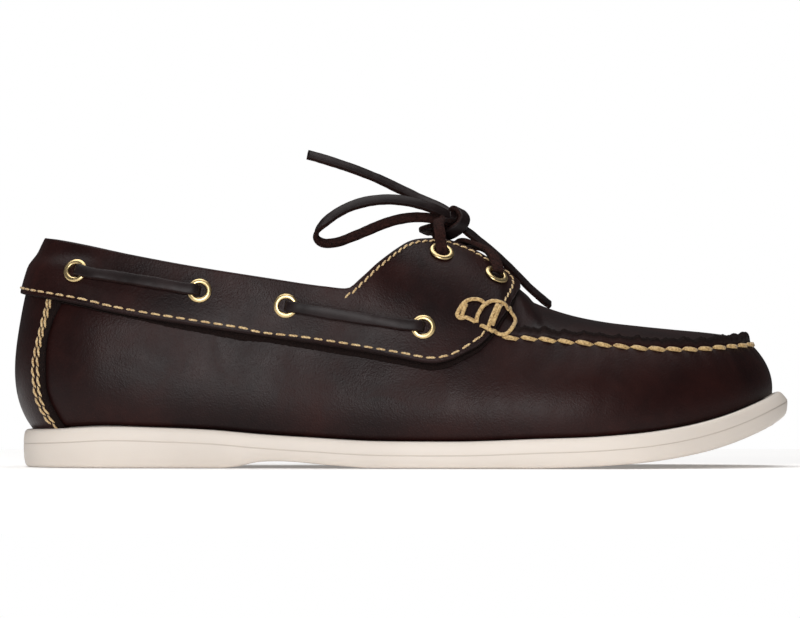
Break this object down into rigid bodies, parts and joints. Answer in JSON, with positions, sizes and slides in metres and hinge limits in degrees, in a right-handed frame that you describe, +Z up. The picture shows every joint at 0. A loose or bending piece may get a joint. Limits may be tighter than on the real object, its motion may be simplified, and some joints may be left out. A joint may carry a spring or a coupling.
{
  "type": "boat shoe",
  "caption": "Low leather boat shoe for the right foot: hollow moc-toe upper on a moulded rubber sole, with a side lace through brass eyelets and a bow at the throat.",
  "frame": {"origin": "on the floor under the middle of the shoe, measured without its free lace", "axes": "+X to the toe, +Y to the inner side of the foot, +Z up"},
  "size_m": [0.3014, 0.1034, 0.1238],
  "materials": {
    "sole_rubber": "satin",
    "insole_leather": "matte",
    "vamp_leather": "satin",
    "band_leather": "satin",
    "tongue_leather": "satin",
    "eyelet_brass": "polished",
    "lace_leather": "satin"
  },
  "bodies": {
    "root": {"outsole": "sole_rubber", "insole": "insole_leather", "upper": "vamp_leather", "collar_band": "band_leather", "heel_counter": "vamp_leather", "tongue": "tongue_leather", "eyelet_outer_1": "eyelet_brass", "eyelet_outer_2": "eyelet_brass", "eyelet_outer_3": "eyelet_brass", "eyelet_outer_4": "eyelet_brass", "eyelet_outer_tab_1": "eyelet_brass", "eyelet_outer_tab_2": "eyelet_brass", "lace_outer_rear": "lace_leather", "lace_outer_front": "lace_leather", "eyelet_inner_1": "eyelet_brass", "eyelet_inner_2": "eyelet_brass", "eyelet_inner_3": "eyelet_brass", "eyelet_inner_4": "eyelet_brass", "eyelet_inner_tab_1": "eyelet_brass", "eyelet_inner_tab_2": "eyelet_brass", "lace_inner_rear": "lace_leather", "lace_inner_front": "lace_leather", "lace_throat": "lace_leather", "cord_riser_outer": "lace_leather", "cord_riser_inner": "lace_leather", "cord_knot": "lace_leather", "cord_bow": "lace_leather", "cord_end_rear": "lace_leather", "cord_end_front": "lace_leather"}
  },
  "joints": []
}
